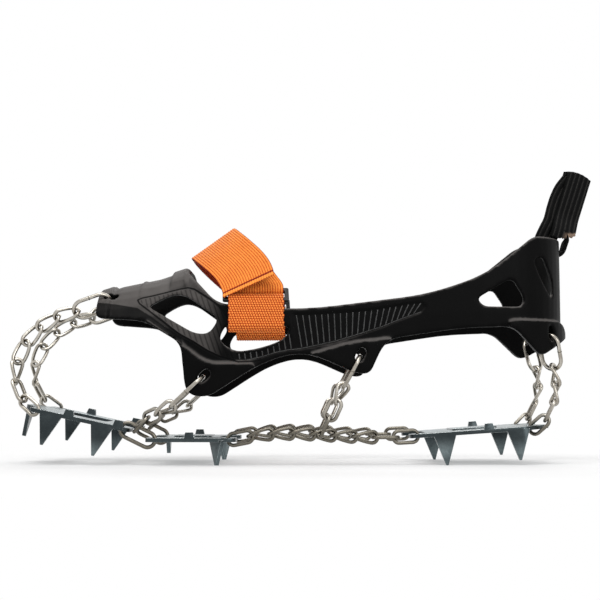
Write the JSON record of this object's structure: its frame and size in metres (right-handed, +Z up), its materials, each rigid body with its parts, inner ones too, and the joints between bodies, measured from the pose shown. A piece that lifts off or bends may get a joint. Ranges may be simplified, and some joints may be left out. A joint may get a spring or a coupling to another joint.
{
  "type": "ice cleat",
  "caption": "Slip-on boot traction harness: stretch elastomer band, welded rings and twisted chains that hold bent steel spike plates under the sole, with an instep strap and heel pull tab",
  "frame": {"origin": "on the ground under the middle of the part's box", "axes": "+X towards the heel, +Y towards the side away from the camera, +Z up"},
  "size_m": [0.3112, 0.1132, 0.1591],
  "materials": {
    "elastomer": "satin black moulded elastomer",
    "tab_webbing": "black ribbed webbing",
    "strap_webbing": "orange woven webbing",
    "ring_plastic": "black moulded plastic",
    "plate_steel": "satin sheet steel, cool grey",
    "chain_steel": "bright wire, warm grey"
  },
  "bodies": {
    "harness": {"harness": "elastomer", "strap_loop_left": "strap_webbing", "strap_loop_right": "strap_webbing", "strap_ring_left": "ring_plastic", "strap_ring_right": "ring_plastic", "strap_band": "strap_webbing", "ball_plate": "plate_steel", "plate_link_left": "chain_steel", "plate_link_right": "chain_steel"},
    "toe_plate": {"toe_plate": "plate_steel"},
    "heel_plate": {"heel_plate": "plate_steel"},
    "heel_tab": {"heel_tab": "tab_webbing"},
    "strap_tail": {"strap_tail": "strap_webbing"},
    "toe_chain_left": {"toe_ring_left": "chain_steel", "toe_chain_left": "chain_steel"},
    "toe_chain_right": {"toe_ring_right": "chain_steel", "toe_chain_right": "chain_steel"},
    "front_chain_left": {"front_ring_left": "chain_steel", "front_chain_left": "chain_steel"},
    "front_chain_right": {"front_ring_right": "chain_steel", "front_chain_right": "chain_steel"},
    "middle_chain_left": {"middle_ring_left": "chain_steel", "middle_chain_left": "chain_steel"},
    "middle_chain_right": {"middle_ring_right": "chain_steel", "middle_chain_right": "chain_steel"},
    "heel_chain_left": {"heel_ring_left": "chain_steel", "heel_chain_left": "chain_steel"},
    "heel_chain_right": {"heel_ring_right": "chain_steel", "heel_chain_right": "chain_steel"},
    "sole_chain_left": {"sole_chain_left": "chain_steel"},
    "sole_chain_right": {"sole_chain_right": "chain_steel"}
  },
  "joints": [
    {"name": "toe_plate_rock", "type": "hinge", "parent": "harness", "child": "toe_plate", "pos_m": [-0.08744, 0, 0.0156], "axis": [0, 1, 0], "range_deg": [0, 2]},
    {"name": "heel_plate_rock", "type": "hinge", "parent": "harness", "child": "heel_plate", "pos_m": [0.0566, 0, 0.01496], "axis": [0, -1, 0], "range_deg": [0, 1.5]},
    {"name": "toe_chain_left_swing", "type": "hinge", "parent": "toe_plate", "child": "toe_chain_left", "pos_m": [-0.10483, -0.02526, 0.08583], "axis": [-0.5207, -0.1057, -0.8472], "range_deg": [-5, 5]},
    {"name": "toe_chain_right_swing", "type": "hinge", "parent": "toe_plate", "child": "toe_chain_right", "pos_m": [-0.10483, 0.02526, 0.08583], "axis": [-0.5207, 0.1057, -0.8472], "range_deg": [-5, 5]},
    {"name": "front_chain_left_swing", "type": "hinge", "parent": "harness", "child": "front_chain_left", "pos_m": [-0.05343, -0.05013, 0.04461], "axis": [-0.7379, 0.3779, -0.5592], "range_deg": [-6, 6]},
    {"name": "front_chain_right_swing", "type": "hinge", "parent": "harness", "child": "front_chain_right", "pos_m": [-0.05343, 0.05013, 0.04461], "axis": [-0.7379, -0.3779, -0.5592], "range_deg": [-6, 6]},
    {"name": "middle_chain_left_swing", "type": "hinge", "parent": "harness", "child": "middle_chain_left", "pos_m": [0.02656, -0.04325, 0.05503], "axis": [-0.4321, 0.1389, -0.891], "range_deg": [-5, 5]},
    {"name": "middle_chain_right_swing", "type": "hinge", "parent": "harness", "child": "middle_chain_right", "pos_m": [0.02656, 0.04325, 0.05503], "axis": [-0.4321, -0.1389, -0.891], "range_deg": [-5, 5]},
    {"name": "heel_chain_left_swing", "type": "hinge", "parent": "heel_plate", "child": "heel_chain_left", "pos_m": [0.12629, -0.02812, 0.06657], "axis": [-0.163, 0.0643, -0.9845], "range_deg": [-5, 5]},
    {"name": "heel_chain_right_swing", "type": "hinge", "parent": "heel_plate", "child": "heel_chain_right", "pos_m": [0.12629, 0.02812, 0.06657], "axis": [-0.163, -0.0643, -0.9845], "range_deg": [-5, 5]},
    {"name": "sole_chain_left_swing", "type": "hinge", "parent": "harness", "child": "sole_chain_left", "pos_m": [-0.03964, -0.033, 0.013], "axis": [0.9993, 0.0312, 0.0204], "range_deg": [-3, 3]},
    {"name": "sole_chain_right_swing", "type": "hinge", "parent": "harness", "child": "sole_chain_right", "pos_m": [-0.03964, 0.033, 0.013], "axis": [0.9993, -0.0312, 0.0204], "range_deg": [-3, 3]},
    {"name": "heel_tab_swing", "type": "hinge", "parent": "harness", "child": "heel_tab", "pos_m": [0.13546, 0, 0.1168], "axis": [0, 1, 0], "range_deg": [-35, 60]},
    {"name": "strap_tail_peel", "type": "hinge", "parent": "harness", "child": "strap_tail", "pos_m": [-0.0264, 0.0411, 0.09376], "axis": [-0.9979, 0.0641, 0], "range_deg": [0, 110]}
  ]
}
